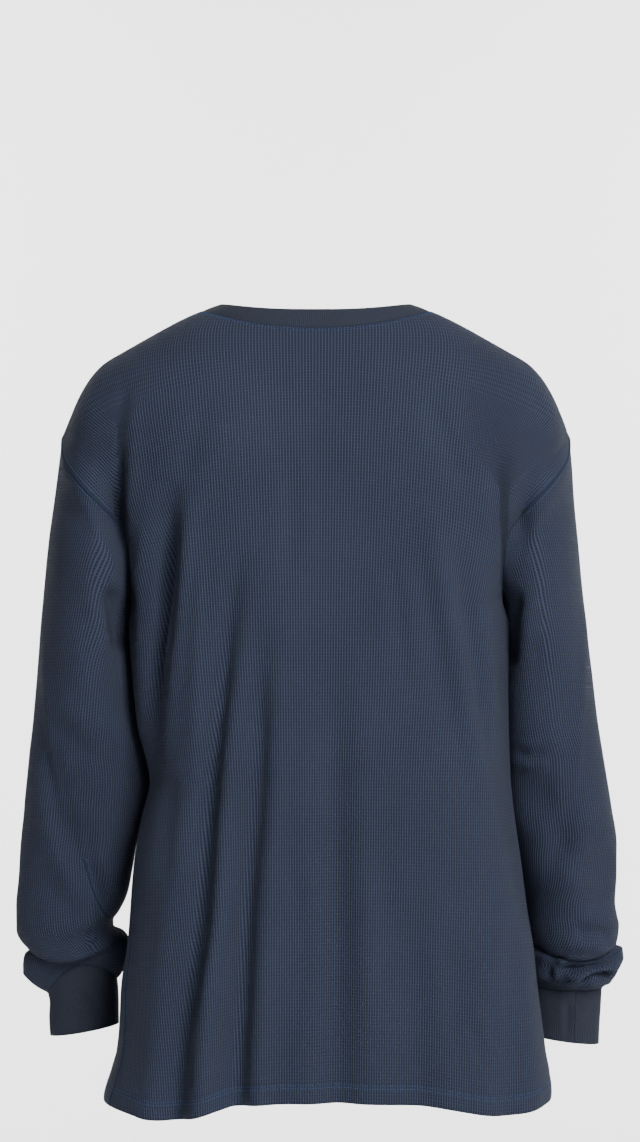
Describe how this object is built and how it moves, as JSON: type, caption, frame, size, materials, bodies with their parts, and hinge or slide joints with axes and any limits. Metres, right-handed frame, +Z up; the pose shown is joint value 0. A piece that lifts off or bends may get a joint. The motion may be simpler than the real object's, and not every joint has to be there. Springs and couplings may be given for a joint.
{
  "type": "long-sleeved thermal top",
  "caption": "Loose long-sleeved thermal top in navy waffle knit, with dropped shoulders, a ribbed crew neck and ribbed cuffs, in the hollow form it has when worn.",
  "frame": {"origin": "midway between the two points where the shoulder seams meet the neck seam", "axes": "+Z up, front towards -Y, the wearer's left towards +X"},
  "size_m": [0.5915, 0.2809, 0.7788],
  "materials": {
    "waffle_knit": "dark slate blue cotton waffle knit, matt",
    "rib_knit": "dark slate blue fine cotton rib, matt"
  },
  "bodies": {
    "root": {"back": "waffle_knit", "front": "waffle_knit", "sleeve_left": "waffle_knit", "sleeve_right": "waffle_knit", "cuff_left": "rib_knit", "cuff_right": "rib_knit", "neck_band": "rib_knit"}
  },
  "joints": []
}
